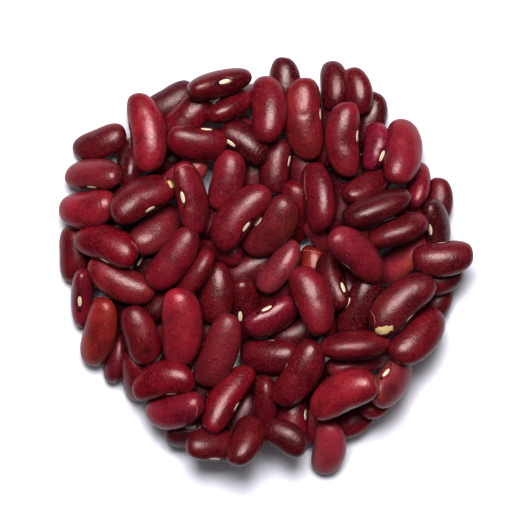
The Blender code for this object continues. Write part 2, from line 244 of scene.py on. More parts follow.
# Pale hair cracks: middle pixel of the chord, its direction in degrees, half its length and
# how far the crack bows to the left of it in millimetres, and the middle pixel of its bean
Crack = namedtuple("Crack", "px py heading half_length bow bean")

CRACKS = (
    Crack(135.5, 250.5, -67, 2.8, 0.8, (109, 248)),
    Crack(193.5, 407.0, -74, 2.3, 1.0, (175, 410)),
    Crack(311.5, 252.0, -10, 2.6, 0.3, (311, 273)),
    Crack(165.0, 179.0, -74, 1.8, 0.2, (142, 199)),
    Crack(185.5, 171.0, 12, 2.4, 1.4, (192, 198)),
    Crack(306.0, 186.0, -88, 3.8, -0.4, (318, 197)),
    Crack(371.5, 317.0, -72, 1.9, 0.4, (402, 303)),
)

# Dents seen from above: pixel, reach and depth in millimetres, how dark it is from 0 to 1,
# and the middle pixel of its bean
Dent = namedtuple("Dent", "px py reach depth stain bean")

DENTS = (
    Dent(304, 116, 0.8, 0.22, 0.0, (305, 119)),
    Dent(299, 98, 1.6, 0.22, 0.0, (305, 119)),
    Dent(349, 143, 2.3, 0.50, 0.2, (344, 140)),
    Dent(147, 352, 1.6, 0.42, 0.8, (141, 335)),
    Dent(139, 346, 1.0, 0.18, 0.2, (141, 335)),
    Dent(391, 389, 1.7, 0.40, 0.5, (391, 382)),
    Dent(181, 329, 1.2, 0.16, 0.0, (182, 325)),
    Dent(322, 299, 1.1, 0.16, 0.0, (314, 300)),
    Dent(309, 289, 1.0, 0.14, 0.0, (314, 300)),
    Dent(371, 141, 0.9, 0.22, 0.0, (374, 147)),
    Dent(379, 152, 0.9, 0.20, 0.0, (374, 147)),
    Dent(186, 206, 1.2, 0.30, 0.0, (192, 198)),
    Dent(345, 247, 1.1, 0.14, 0.0, (354, 253)),
    Dent(154, 228, 1.3, 0.22, 0.3, (157, 231)),
    Dent(143, 117, 1.2, 0.16, 0.0, (147, 132)),
)

# Seed scars that sit off the middle of their side: how far along the bean in millimetres, how
# far round it towards the camera in degrees, and the middle pixel of the bean
Scar = namedtuple("Scar", "along turn bean")

SCARS = (
    Scar(-1.6, 14, (276, 166)),
    Scar(-0.8, 18, (344, 140)),
    Scar(-0.8, 14, (305, 119)),
    Scar(3.0, 16, (334, 282)),
    Scar(0.0, 14, (358, 306)),
    Scar(-0.4, 20, (293, 417)),
    Scar(-0.8, 12, (391, 382)),
    Scar(-0.8, 4, (95, 175)),
    Scar(2.4, 26, (245, 142)),
    Scar(1.8, 8, (198, 143)),
    Scar(-1.6, 12, (109, 248)),
    Scar(0.9, 8, (192, 198)),
    Scar(0.0, 3, (142, 199)),
    Scar(1.0, 28, (238, 215)),
    Scar(-0.3, 28, (270, 226)),
    Scar(1.2, 8, (402, 303)),
    Scar(-0.5, 0, (272, 316)),
    Scar(-1.8, 16, (164, 379)),
    Scar(1.0, 6, (229, 399)),
    Scar(-0.4, 6, (345, 394)),
    Scar(0.0, 18, (442, 258)),
    Scar(0.0, 48, (247, 311)),
    Scar(-3.0, 166, (374, 147)),
)

# The skin round the seed scar, in millimetres
NO_MARK = 9.0                    # distance to a scar, chip or crack where there is none
SCAR_AT = 0.4                    # along the bean from its middle
SCAR_LENGTH = 1.6                # half
SCAR_WIDTH = 0.62                # half
SCAR_RISE = 0.17
SCAR_FILL = 0.98                 # how much of the scar's oval its button covers
SLIT_DEPTH = 0.09
SLIT_WIDTH = 0.13
BASIN_DEPTH = 0.24
BASIN_REACH = 1.15               # in ovals of the scar
LIP_HEIGHT = 0.10
LIP_AT = 1.5                     # in ovals of the scar
LIP_WIDTH = 0.42                 # in ovals of the scar
LENS_AT = 3.4                    # along from the scar, as the pore is on its other side
LENS_HEIGHT = 0.14
LENS_REACH = (0.7, 0.5)          # along and across
PORE_AT = -2.45
PORE_DEPTH = 0.16
PORE_REACH = (0.34, 0.32)        # along and across
SEAM_HEIGHT = 0.07
SEAM_WIDTH = 0.32
SEAM_START = (LENS_AT, LENS_AT + 0.8)
KEEL_HEIGHT = 0.05
KEEL_WIDTH = 0.45

# Where a form starts and where it is full, as the cosine of the angle from its side
SCAR_SIDE = (0.2, 0.8)
BACK_SIDE = (0.5, 1.0)
WRINKLED_SIDE = (-0.2, 0.9)
WRINKLED_END = (0.35, 0.8)       # of half the length
SEAM_END = (1.0, 0.8)            # of half the length
SLIT_TOP = (0.0, 0.4)            # on the scar's button
DENTED_TOP = (0.0, 0.5)          # of half the thickness

# What chance gives a bean: dents, wrinkles and a taper. Heights and depths in millimetres
SEED = 11
RANDOM_DENTS = 4
DENT_STATION = 0.8               # the furthest from the middle, of half the length
DENT_REACH = (0.14, 0.4)         # of half the length
DENT_DEPTH = (0.02, 0.14)
DENT_ROUND = 0.42                # of half the length, to a radian round the bean
WRINKLED_SHARE = 0.30
WRINKLE_HEIGHT = (0.05, 0.09)
WRINKLE_PITCH = 5.6              # radians a millimetre
WRINKLE_WAVER = 2.0              # radians
MAX_TAPER = 0.07

# Grids: rings along a bean and sides round it, and how much closer together the rings are at
# its middle and the sides near its seed scar
UPPER_GRID = (58, 36)
LOWER_GRID = (38, 30)
SCAR_GRID = (7, 20)
RING_CROWDING = 0.18
SIDE_CROWDING = 0.42

# Specular level of the skins. The deepest beans are dusty and in the shade, with little sheen:
# those of the darkest tones that the heap's outer beans hide from every side
SHEEN = 0.47
DEEP_SHEEN = 0.08
# The darkest tones, which carry painted shade
DEEP_TONES = (WINE_AND_PAINTED_SHADE, DAMSON_AND_PAINTED_SHADE)
DEEP_REACH = 39.0 * MM
SKIN_GLINT = (1.0, 0.86, 0.84, 1.0)    # tint of the skins' highlights

# Noise in the skins and scars: its cells a metre, its detail and how rough the detail is
Noise = namedtuple("Noise", "cells detail roughness", defaults=[0.5])

SWELL = Noise(330.0, 2.0)
BLOTCH = Noise(170.0, 3.0)
MOTTLE = Noise(900.0, 4.0, 0.65)
SPECKLE = Noise(2500.0, 2.0, 0.6)
GRAIN = Noise(3000.0, 2.0)
TAN = Noise(105.0, 1.0)
FIBRE = Noise(2600.0, 3.0)
SPECK_CELLS = 1500.0

# What a bean's tone is multiplied by in its patches and specks
PATCH_DARK = (0.70, 0.60, 0.70)
PATCH_LIGHT = (1.20, 1.25, 1.18)
PATCH_BROWN = (1.05, 1.75, 0.80)
SPECKLE_DARK = (0.89, 0.84, 0.88)
SPECKLE_LIGHT = (1.14, 1.21, 1.15)
MOTTLE_IN_PATCHES = 0.25
BROWN_SHARE = 0.9

# Marks: a colour in linear light, and how much of the colour under it gives way to it
Mark = namedtuple("Mark", "colour share")

DUST = Mark((0.34, 0.075, 0.090), 0.20)
PALE_SPECK = Mark((0.42, 0.14, 0.13), 0.45)
DARK_SPECK = Mark((0.030, 0.002, 0.004), 0.12)
STAIN = Mark((0.022, 0.0012, 0.004), 0.75)
SCAR_RING = Mark((0.030, 0.003, 0.005), 0.75)
PIT = Mark((0.006, 0.002, 0.003), 0.9)
PALE_CRACK = Mark((0.46, 0.18, 0.15), 0.55)
SLIT = Mark((0.34, 0.20, 0.09), 0.45)
RIM = Mark((0.22, 0.10, 0.06), 0.6)

# Plain colours in linear light
SEED_DARK = (0.36, 0.26, 0.11)
SEED_LIGHT = (0.64, 0.50, 0.27)
SCAR_DARK = (0.47, 0.39, 0.28)
SCAR_LIGHT = (0.76, 0.67, 0.52)
TABLE_PALE = (0.82, 0.82, 0.89)

# Edges of the patterns and marks: where each is at nothing and where it is full
PATCH_EDGE = (0.36, 0.64)
TAN_EDGE = (0.50, 0.72)
SPECKLE_EDGE = (0.36, 0.62)
DUST_EDGE = (0.50, 0.64)
PALE_SPECK_EDGE = (0.10, 0.24)   # in cells
DARK_SPECK_EDGE = (0.12, 0.30)
PALE_SPECK_CHANCE = (0.80, 0.84)
DARK_SPECK_CHANCE = (0.26, 0.30)
RING_SIDE = (0.2, 0.6)           # cosine of the angle from the scar's side
RING_EDGE = (1.1, 1.9)           # square of the ovals of the scar
PIT_EDGE = (0.5, 1.4)            # square of the pit's reaches
CRACK_ENDS = (0.6, 1.0)          # square of half its length
CRACK_EDGE = (0.003, 0.022)      # square millimetres
CHIP_EDGE = (-0.06, 0.06)        # millimetres
SLIT_EDGE = (0.0, 0.022)         # square millimetres
SLIT_END = (0.9, 1.5)            # millimetres
RIM_EDGE = (0.72, 1.0)           # square of the ovals of the scar

# Pits at the scar's two ends, and how ragged cracks and chips are, in millimetres
PITS = ((PORE_AT, 0.46), (-PORE_AT, 0.30))    # along from the scar, and its reach
CRACK_WAVER = 0.7
CHIP_RAGS = 1.3
CHIP_WAVES = 1.4

# Roughness of the skins: that of a bean by its luck, and what each pattern adds
SKIN_ROUGHNESS = 0.27
LUCK_ROUGHNESS = 0.11
BLOTCH_ROUGHNESS = 0.14
MOTTLE_ROUGHNESS = 0.24
DUST_ROUGHNESS = 0.05
SEED_ROUGHNESS = 0.3
SCAR_ROUGHNESS = 0.7
TABLE_ROUGHNESS = 0.85

# How proud each pattern stands in the skins' bump, in millimetres
SWELL_HEIGHT = 0.09
MOTTLE_HEIGHT = 0.072
GRAIN_HEIGHT = 0.030
PALE_SPECK_HEIGHT = 0.012
DARK_SPECK_DEPTH = 0.015
CHIP_DEPTH = 0.10
CRACK_DEPTH = 0.04
FIBRE_HEIGHT = 0.04
FIBRE_STRENGTH = 0.4             # of the scars' bump, from 0 to 1

# The studio's lamps: place and size in metres, power in watts, and whether the beans mirror it
Lamp = namedtuple("Lamp", "name place size power mirrored")

LAMPS = (
    Lamp("key_softbox", (-0.02, 0.32, 0.68), (0.42, 0.36), 10.6, True),
    Lamp("overhead_softbox", (0.0, 0.14, 0.75), (1.00, 0.50), 1.45, False),
    Lamp("fill_softbox", (0.0, -0.42, 0.62), (0.40, 0.30), 0.4, False),
)
LAMP_AIM = (0.0, 0.0, 0.005)
AIR_COLOUR = (0.80, 0.84, 1.0, 1.0)
AIR_STRENGTH = 0.003
CONTRAST = 0.82                  # display gamma: below 1 deepens the shadows, as in the photograph

# The table and the camera, in metres
TABLE_SIZE = 3.0
CAMERA_HEIGHT = 0.90
FOCUS_HEIGHT = 0.008             # the level whose scale is the photograph's
SENSOR_WIDTH = 36.0              # in millimetres, as lenses are given
NEAREST = 0.01


def to_table(px, py):
    """The place on the table under a pixel."""
    return (px - MIDDLE_X) * PIXEL, (MIDDLE_Y - py) * PIXEL


def true_width(seen, roll):
    """The width of a bean that shows a given width when it is rolled."""
    flat = math.cos(math.radians(roll))
    edge = THICKNESS * math.sin(math.radians(roll))
    return seen / math.hypot(flat, edge)


def fullness(station):
    """Size of a bean's section, from the way along it: a power of a half circle."""
    return np.sqrt(np.maximum(1 - station ** 2, 0.0)) ** BLUNTNESS


def waist_at(station, cosine):
    """What the waist leaves of the section, least at the bean's middle on the scar's side."""
    return 1 - WAIST * np.exp(-(station / WAIST_REACH) ** 2) * (1 + cosine) / 2


def spine_at(station, length, bend):
    """Where the middle of a section lies towards the seed scar's side, on a parabola."""
    return bend * length * (station ** 2 - BEND_LEVEL)


def bean_form(station, around, length, width, bend):
    """A kidney shape from the way along it, -1 to 1, and the angle round it.

    The sections are ellipses whose size follows a power of a half circle over the length.
    Their middles run on a parabola, so the ends come round to +Y, where the seed scar's side
    also has a shallow waist.
    """
    size = fullness(station)
    x = 0.5 * length * station + 0.0 * around
    waist = waist_at(station, np.cos(around))
    y = spine_at(station, length, bend) + 0.5 * width * size * np.cos(around) * waist
    z = 0.5 * width * THICKNESS * size * np.sin(around)
    return np.stack([x, y, z], axis=-1)


def bean_points(length, width, bend, grid):
    """Points all over a bean drawn in a little from its flanks, as beans are let down."""
    rings, sides = grid
    along = np.linspace(0.0, math.pi, rings)[:, None]
    around = np.linspace(0.0, 2 * math.pi, sides, endpoint=False)[None, :]
    form = bean_form(-np.cos(along), around, length, width, bend)
    return form.reshape(-1, 3) * SLIM


def turned(points, heading, pitch, roll):
    """Points after a roll about X, a pitch about Y and a turn about Z, in degrees."""
    h, p, r = (math.radians(a) for a in (heading, pitch, roll))
    roll_x = np.array([[1, 0, 0], [0, math.cos(r), -math.sin(r)], [0, math.sin(r), math.cos(r)]])
    pitch_y = np.array([[math.cos(p), 0, math.sin(p)], [0, 1, 0], [-math.sin(p), 0, math.cos(p)]])
    turn_z = np.array([[math.cos(h), -math.sin(h), 0], [math.sin(h), math.cos(h), 0], [0, 0, 1]])
    return points @ (turn_z @ pitch_y @ roll_x).T


class HeightMap:
    """How high the heap is so far, on square cells."""

    def __init__(self):
        self.count = int(2 * REACH / CELL)
        self.height = np.zeros((self.count, self.count))

    def cells(self, points):
        """The cell under each point."""
        index = ((points[:, :2] + REACH) / CELL).astype(int)
        index = np.clip(index, 0, self.count - 1)
        return index[:, 0], index[:, 1]

    def rest_height(self, points):
        """The lowest lift at which the points clear the heap."""
        return float(np.max(self.height[self.cells(points)] - points[:, 2]))

    def add(self, points):
        """Raise the cells under the points to them."""
        np.maximum.at(self.height, self.cells(points), points[:, 2])


def settle(bean, heap):
    """Let a bean down and rock, roll and nudge it until its middle lies no lower.

    Gives (x, y, z, heading, pitch, roll, length, width, bend) in metres and degrees.
    """
    x, y = to_table(bean.px, bean.py)
    length = bean.length * MM
    width = true_width(bean.width * MM, bean.roll)
    shape = bean_points(length, width, bean.bend, FEELERS)

    def cost(state):
        pitch, roll_change, dx, dy = state
        points = turned(shape, bean.heading, pitch, bean.roll + roll_change)
        points += np.array([x + dx, y + dy, 0.0])
        lift = heap.rest_height(points)
        return lift + SHIFT_COST * (dx * dx + dy * dy) + ROLL_COST * roll_change ** 2, lift

    state = np.zeros(4)
    best, lift = cost(state)
    step = FIRST_STEP
    limit = np.array([MAX_PITCH, MAX_ROLL_CHANGE, MAX_SHIFT, MAX_SHIFT])
    for _ in range(HALVINGS):
        moved = True
        while moved:
            moved = False
            for axis in range(4):
                for sign in (1, -1):
                    trial = state.copy()
                    trial[axis] += sign * step[axis]
                    if abs(trial[axis]) > limit[axis]:
                        continue
                    value, height = cost(trial)
                    if value < best - LEAST_GAIN:
                        best, lift, state, moved = value, height, trial, True
        step = step / 2
    pitch, roll_change, dx, dy = state
    roll = bean.roll + roll_change
    own_floor = -turned(shape, bean.heading, pitch, roll)[:, 2].min()
    z = max(lift - NEST, own_floor)
    return x + dx, y + dy, z, bean.heading, pitch, roll, length, width, bean.bend


def placed(points, pose):
    """A bean's own points where the bean lies."""
    x, y, z, heading, pitch, roll = pose[:6]
    return turned(points, heading, pitch, roll) + np.array([x, y, z])


def lay(pose, heap):
    """Add a settled bean to the height map."""
    heap.add(placed(bean_points(*pose[6:], FILLING), pose))


def all_beans(random):
    """Every bean with its resting place and traits: the lower beans, then the upper ones."""
    heap = HeightMap()
    layers = []
    for beans in (LOWER + MIDDLE, UPPER):
        layers.append([])
        for bean in beans:
            pose = settle(bean, heap)
            lay(pose, heap)
            layers[-1].append((pose, bean, make_traits(random)))
    return layers


def smooth(low, high, value):
    """0 below low, 1 above high and an S curve between."""
    share = np.clip((value - low) / (high - low), 0.0, 1.0)
    return share * share * (3 - 2 * share)


def scar_place(bean):
    """How far along its bean a seed scar sits, in millimetres, and how far round in radians."""
    for scar in SCARS:
        if scar.bean == (bean.px, bean.py):
            return scar.along, math.radians(scar.turn)
    return SCAR_AT, 0.0


def section_axes(station, pose, traits, turn):
    """Half-axes of a bean's cross-section, as they are where its seed scar is turned to."""
    width = pose[7]
    size = fullness(station) * (1 + traits["taper"] * station)
    return 0.5 * width * size * waist_at(station, math.cos(turn)), 0.5 * width * THICKNESS * size


def skin_arc(half_width, half_height, turn):
    """Length along the skin to a radian round the bean, where its seed scar is turned to."""
    return np.hypot(half_width * math.sin(turn), half_height * math.cos(turn))


def hill(distance, reach):
    """A round hill: 1 at its middle and a third at its reach."""
    return np.exp(-(distance / reach) ** 2)


def from_angle(around, angle):
    """The way round from one angle to another, the short way, in radians."""
    return np.angle(np.exp(1j * (around - angle)))


def scar_field(station, around, pose, traits, place):
    """Millimetres along the bean and round it from the scar's middle, and the cosine between."""
    scar_along, turn = place
    half_width, half_height = section_axes(station, pose, traits, turn)
    gap = from_angle(around, turn)
    along = 0.5 * pose[6] * station / MM - scar_along
    across = gap * skin_arc(half_width, half_height, turn) / MM
    return np.broadcast_arrays(along, across, np.cos(gap))


def scar_oval(along, across):
    """Square of the distance from the seed scar's middle, in its ovals."""
    return (along / SCAR_LENGTH) ** 2 + (across / SCAR_WIDTH) ** 2


def scar_relief(station, field):
    """The skin round the seed scar, in millimetres.

    The scar's basin is a steep hollow and its lips are a ring of hill on the basin's edge. The
    lens and the pore are a hill and a hollow at its two ends, and a seam runs on from the lens.
    """
    along, across, nearness = field
    oval = np.sqrt(scar_oval(along, across))
    basin = -BASIN_DEPTH * np.exp(-(oval / BASIN_REACH) ** 4)
    lips = LIP_HEIGHT * hill(oval - LIP_AT, LIP_WIDTH)
    lens = LENS_HEIGHT * hill(along - LENS_AT, LENS_REACH[0]) * hill(across, LENS_REACH[1])
    pore = -PORE_DEPTH * hill(along - PORE_AT, PORE_REACH[0]) * hill(across, PORE_REACH[1])
    seam = SEAM_HEIGHT * hill(across, SEAM_WIDTH)
    seam *= smooth(*SEAM_START, along) * smooth(*SEAM_END, station)
    return (basin + lips + lens + pore + seam) * smooth(*SCAR_SIDE, nearness)


def relief(point, station, around, field, traits):
    """How far the skin stands proud of the plain form, in metres.

    A sum of small hills and hollows: those round the seed scar, a faint keel along the back,
    a few broad dents, and on some beans ripples across one end.
    """
    x, z = point[..., 0] / MM, point[..., 2] / MM
    total = scar_relief(station, field)
    back = smooth(*BACK_SIDE, -np.cos(around))
    total += KEEL_HEIGHT * hill(z, KEEL_WIDTH) * back * (1 - station ** 4)
    for centre, angle, reach, depth in traits["dents"]:
        apart = np.hypot(station - centre, DENT_ROUND * from_angle(around, angle))
        total -= depth * hill(apart, reach)
    end, strength, phase = traits["wrinkles"]
    ripples = np.sin(WRINKLE_PITCH * x + WRINKLE_WAVER * np.sin(2 * around + phase) + phase)
    ripples *= smooth(*WRINKLED_END, station * end) * smooth(*WRINKLED_SIDE, np.sin(around + phase))
    total += strength * ripples
    return total * MM * np.sqrt(np.maximum(1 - station ** 2, 0.0))


def make_traits(random):
    """One bean's own dents, wrinkles, taper and three numbers for its colours and gloss."""
    dents = []
    for _ in range(RANDOM_DENTS):
        centre = random.uniform(-DENT_STATION, DENT_STATION)
        angle = random.uniform(0, 2 * math.pi)
        dents.append((centre, angle, random.uniform(*DENT_REACH), random.uniform(*DENT_DEPTH)))
    wrinkled = random.random() < WRINKLED_SHARE
    strength = random.uniform(*WRINKLE_HEIGHT) if wrinkled else 0.0
    end = 1 if random.random() < 0.5 else -1
    return {
        "dents": dents,
        "wrinkles": (end, strength, random.uniform(0, 2 * math.pi)),
        "taper": random.uniform(-MAX_TAPER, MAX_TAPER),
        "luck": random.uniform(0.0, 1.0, 3),
    }


def ball_grid(rings, sides):
    """Angles down and round a ball, without its two poles."""
    theta = np.linspace(0.0, math.pi, rings + 2)[1:-1, None]
    phi = np.linspace(0.0, 2 * math.pi, sides, endpoint=False)[None, :]
    return theta, phi


def grid_stations(rings, sides):
    """Stations and angles of a bean's grid, closer together round the seed scar."""
    theta, phi = ball_grid(rings, sides)
    theta = theta + RING_CROWDING * np.sin(2 * theta)
    return -np.cos(theta), phi - SIDE_CROWDING * np.sin(phi)


def detailed_bean(pose, bean, traits, grid):
    """A bean's own points with its relief, and how each lies to the seed scar.

    Rings come first and then the two end points.
    """
    length, width, bend = pose[6:]
    station, around = grid_stations(*grid)
    point = bean_form(station, around, length, width, bend)
    section = 1 + traits["taper"] * station
    spine = spine_at(station, length, bend)
    point[..., 1] = spine + (point[..., 1] - spine) * section
    point[..., 2] *= section
    field = scar_field(station, around, pose, traits, scar_place(bean))
    proud = relief(point, station, around, field, traits)
    point[..., 1] += proud * np.cos(around)
    point[..., 2] += proud * np.sin(around)
    end = spine_at(1.0, length, bend)
    tips = np.array([[-0.5 * length, end, 0.0], [0.5 * length, end, 0.0]])
    to_scar = np.stack(field, axis=-1).reshape(-1, 3)
    far = np.full((2, 3), NO_MARK)
    return np.vstack([point.reshape(-1, 3), tips]), np.vstack([to_scar, far])


def point_count(grid):
    """Points of a closed grid: its rings and its two ends."""
    return grid[0] * grid[1] + 2


def grid_faces(rings, sides):
    """The quads between a grid's rings, and the triangles round its two end points."""
    ring = np.arange(rings - 1)[:, None] * sides
    side = np.arange(sides)[None, :]
    after = (side + 1) % sides
    quads = np.stack([ring + side, ring + sides + side, ring + sides + after, ring + after], -1)
    side, after = side[0], after[0]
    top = (rings - 1) * sides
    first = np.full(sides, rings * sides)
    near = np.stack([first, side, after], -1)
    far = np.stack([first + 1, top + after, top + side], -1)
    return quads.reshape(-1, 4), np.vstack([near, far])


def repeated(faces, grid, copies):
    """The same faces for each of many copies of a grid."""
    shift = (np.arange(copies) * point_count(grid))[:, None, None]
    return (faces[None] + shift).reshape(-1, faces.shape[1])


def mesh_piece(name, points, quads, triangles, values):
    """A mesh object from whole arrays, with its point attributes, smooth shaded."""
    mesh = bpy.data.meshes.new(name)
    mesh.vertices.add(len(points))
    mesh.vertices.foreach_set("co", points.astype(np.float32).ravel())
    loops = np.concatenate([quads.ravel(), triangles.ravel()]).astype(np.int32)
    sizes = np.concatenate([np.full(len(quads), 4), np.full(len(triangles), 3)])
    starts = np.concatenate([[0], np.cumsum(sizes)[:-1]]).astype(np.int32)
    mesh.loops.add(len(loops))
    mesh.loops.foreach_set("vertex_index", loops)
    mesh.polygons.add(len(sizes))
    mesh.polygons.foreach_set("loop_start", starts)
    mesh.update(calc_edges=True)
    mesh.validate()
    for key, value in values.items():
        kind = {1: "FLOAT", 3: "FLOAT_VECTOR", 4: "FLOAT_COLOR"}[value.shape[1]]
        field = {1: "value", 3: "vector", 4: "color"}[value.shape[1]]
        attribute = mesh.attributes.new(key, kind, "POINT")
        attribute.data.foreach_set(field, value.astype(np.float32).ravel())
    mesh.shade_smooth()
    piece = bpy.data.objects.new(name, mesh)
    bpy.context.scene.collection.objects.link(piece)
    return piece


def marks_on(bean, marks):
    """The marks that lie on a bean."""
    return [mark for mark in marks if mark.bean == (bean.px, bean.py)]


def from_mark(points, mark):
    """Millimetres from a mark's middle along its own direction and across it, looking down."""
    apart = (points[:, :2] - np.array(to_table(mark.px, mark.py))) / MM
    heading = math.radians(mark.heading)
    along = apart[:, 0] * math.cos(heading) + apart[:, 1] * math.sin(heading)
    across = apart[:, 1] * math.cos(heading) - apart[:, 0] * math.sin(heading)
    return along, across


def chip_distance(points, bean):
    """Signed distance in millimetres to the bean's own nearest chip, less than 0 inside it."""
    nearest = np.full(len(points), NO_MARK)
    for chip in marks_on(bean, CHIPS):
        along, across = from_mark(points, chip)
        oval = np.hypot(along / chip.half_length, across / chip.half_width)
        nearest = np.minimum(nearest, (oval - 1) * chip.half_width)
    return nearest[:, None]


def crack_place(points, bean):
    """Way along the bean's own crack, -1 to 1, and the distance from it in millimetres."""
    place = np.full((len(points), 3), NO_MARK)
    for crack in marks_on(bean, CRACKS):
        along, across = from_mark(points, crack)
        share = along / crack.half_length
        place[:, 0] = share
        place[:, 1] = across - crack.bow * (1 - share ** 2)
    return place


def dented(points, pose, bean):
    """The points pressed down in the bean's own dents, and how dark each point is for it."""
    points, stain = points.copy(), np.zeros((len(points), 1))
    half_height = 0.5 * pose[7] * THICKNESS
    upper_side = smooth(*DENTED_TOP, (points[:, 2] - pose[2]) / half_height)
    for dent in marks_on(bean, DENTS):
        apart = np.hypot(*(points[:, :2] - np.array(to_table(dent.px, dent.py))).T)
        share = hill(apart, dent.reach * MM) * upper_side
        points[:, 2] -= dent.depth * MM * share
        stain[:, 0] = np.maximum(stain[:, 0], dent.stain * share)
    return points, stain


def bean_piece(name, beans, grid):
    """All beans of one kind as one mesh."""
    count = point_count(grid)
    points = []
    values = {key: [] for key in ("own", "luck", "tone", "scar", "chip", "crack", "stain")}
    for pose, bean, traits in beans:
        local, to_scar = detailed_bean(pose, bean, traits, grid)
        world, dark = dented(placed(local, pose), pose, bean)
        world[:, 2] = np.maximum(world[:, 2], 0.0)
        points.append(world)
        values["own"].append(local)
        values["luck"].append(np.tile(traits["luck"], (count, 1)))
        values["tone"].append(np.tile((*bean.tone, 1.0), (count, 1)))
        values["scar"].append(to_scar)
        values["chip"].append(chip_distance(world, bean))
        values["crack"].append(crack_place(world, bean))
        values["stain"].append(dark)
    quads, triangles = (repeated(faces, grid, len(beans)) for faces in grid_faces(*grid))
    values = {key: np.vstack(rows) for key, rows in values.items()}
    return mesh_piece(name, np.vstack(points), quads, triangles, values)


def scar_points(pose, bean, traits):
    """A seed scar: a flattened oval button that follows the skin, with a slit along it.

    Gives its points, and where each lies on the button itself.
    """
    length, _, bend = pose[6:]
    scar_along, turn = scar_place(bean)
    theta, phi = ball_grid(*SCAR_GRID)
    along = SCAR_LENGTH * MM * SCAR_FILL * np.sin(theta) * np.cos(phi)
    across = SCAR_WIDTH * MM * SCAR_FILL * np.sin(theta) * np.sin(phi)
    dome = SCAR_RISE * MM * np.cos(theta)
    slit = SLIT_DEPTH * MM * hill(across, SLIT_WIDTH * MM) * smooth(*SLIT_TOP, np.cos(theta))
    x = scar_along * MM + along
    station = x / (0.5 * length)
    half_width, half_height = section_axes(station, pose, traits, turn)
    around = turn + across / skin_arc(half_width, half_height, turn)
    out_y, out_z = np.cos(around) / half_width, np.sin(around) / half_height
    steep = np.hypot(out_y, out_z)
    rise = dome - slit - SCAR_RISE * MM
    spine = spine_at(station, length, bend)
    y = spine + half_width * np.cos(around) + rise * out_y / steep
    z = half_height * np.sin(around) + rise * out_z / steep
    grid = np.stack([x, y, z], axis=-1)
    button = np.stack([along, dome + 0.0 * phi, across], axis=-1)
    return [np.vstack([part.reshape(-1, 3), part[[0, -1]].mean(axis=1)]) for part in (grid, button)]


def scar_piece(beans):
    """The seed scars of all beans as one mesh, with its faces turned to point outwards."""
    points, own = [], []
    for pose, bean, traits in beans:
        scar, button = scar_points(pose, bean, traits)
        points.append(placed(scar, pose))
        own.append(button)
    points = np.vstack(points)
    points[:, 2] = np.maximum(points[:, 2], 0.0)
    quads, triangles = (repeated(faces[:, ::-1], SCAR_GRID, len(beans))
                        for faces in grid_faces(*SCAR_GRID))
    return mesh_piece("seed_scars", points, quads, triangles, {"own": np.vstack(own)})


class Value:
    """A number in a material. Python's operators add Math nodes to it."""

    def __init__(self, finish, socket):
        self.finish, self.socket = finish, socket

    def _math(self, operation, *inputs):
        links = dict(enumerate(inputs))
        return self.finish.node("ShaderNodeMath", {"operation": operation}, links)

    def __add__(self, other):
        return self._math("ADD", self, other)

    def __sub__(self, other):
        return self._math("SUBTRACT", self, other)

    def __rsub__(self, other):
        return self._math("SUBTRACT", other, self)

    def __mul__(self, other):
        return self._math("MULTIPLY", self, other)

    def __truediv__(self, other):
        return self._math("DIVIDE", self, other)

    def __pow__(self, other):
        return self._math("POWER", self, other)

    __radd__ = __add__
    __rmul__ = __mul__


class Finish:
    """A material and its one Principled shader."""

    def __init__(self, name):
        self.material = bpy.data.materials.new(name)
        self.material.use_nodes = True
        self.tree = self.material.node_tree
        self.shader = self.tree.nodes["Principled BSDF"]

    def join(self, socket, value):
        """Link a value to a socket, or set the socket to a plain number or colour."""
        if isinstance(value, Value):
            self.tree.links.new(value.socket, socket)
        elif isinstance(value, tuple) and len(value) == 3 and socket.type == "RGBA":
            socket.default_value = (*value, 1.0)
        else:
            socket.default_value = value

    def node(self, kind, settings=None, inputs=None, out=0):
        """Any node: its type, its settings, its sockets' values or links, and its output."""
        node = self.tree.nodes.new(kind)
        for key, value in (settings or {}).items():
            setattr(node, key, value)
        for key, value in (inputs or {}).items():
            self.join(node.inputs[key], value)
        return Value(self, node.outputs[out])

    def set(self, **sockets):
        """Set or link the shader's own sockets, with _ for a space in their names."""
        for key, value in sockets.items():
            self.join(self.shader.inputs[key.replace("_", " ")], value)

    def mix(self, share, low, high, blend="MIX"):
        """A colour between two."""
        settings = {"data_type": "RGBA", "blend_type": blend}
        return self.node("ShaderNodeMix", settings, {0: share, 6: low, 7: high}, 2)

    def between(self, value, low, high):
        """0 below low, 1 above high and an S curve between."""
        settings = {"interpolation_type": "SMOOTHSTEP"}
        return self.node("ShaderNodeMapRange", settings, {0: value, 1: low, 2: high})

    def marked(self, colour, where, mark):
        """A colour with a mark on it."""
        return self.mix(where * mark.share, colour, mark.colour)

    def noise(self, place, kind):
        """Noise of a kind at a place, from 0 to 1."""
        inputs = {"Vector": place, "Scale": kind.cells, "Detail": kind.detail,
                  "Roughness": kind.roughness}
        return self.node("ShaderNodeTexNoise", None, inputs)

    def attribute(self, name, out="Vector"):
        """One of the piece's own point attributes."""
        return self.node("ShaderNodeAttribute", {"attribute_name": name}, None, out)

    def parts(self, vector):
        """The three parts of a vector."""
        split = self.node("ShaderNodeSeparateXYZ", None, {0: vector}).socket.node
        return [Value(self, part) for part in split.outputs]

    def bump(self, height, distance, strength=1.0):
        """A normal from a height, 1 of which is a distance in metres."""
        inputs = {"Strength": strength, "Distance": distance, "Height": height}
        return self.node("ShaderNodeBump", None, inputs, "Normal")


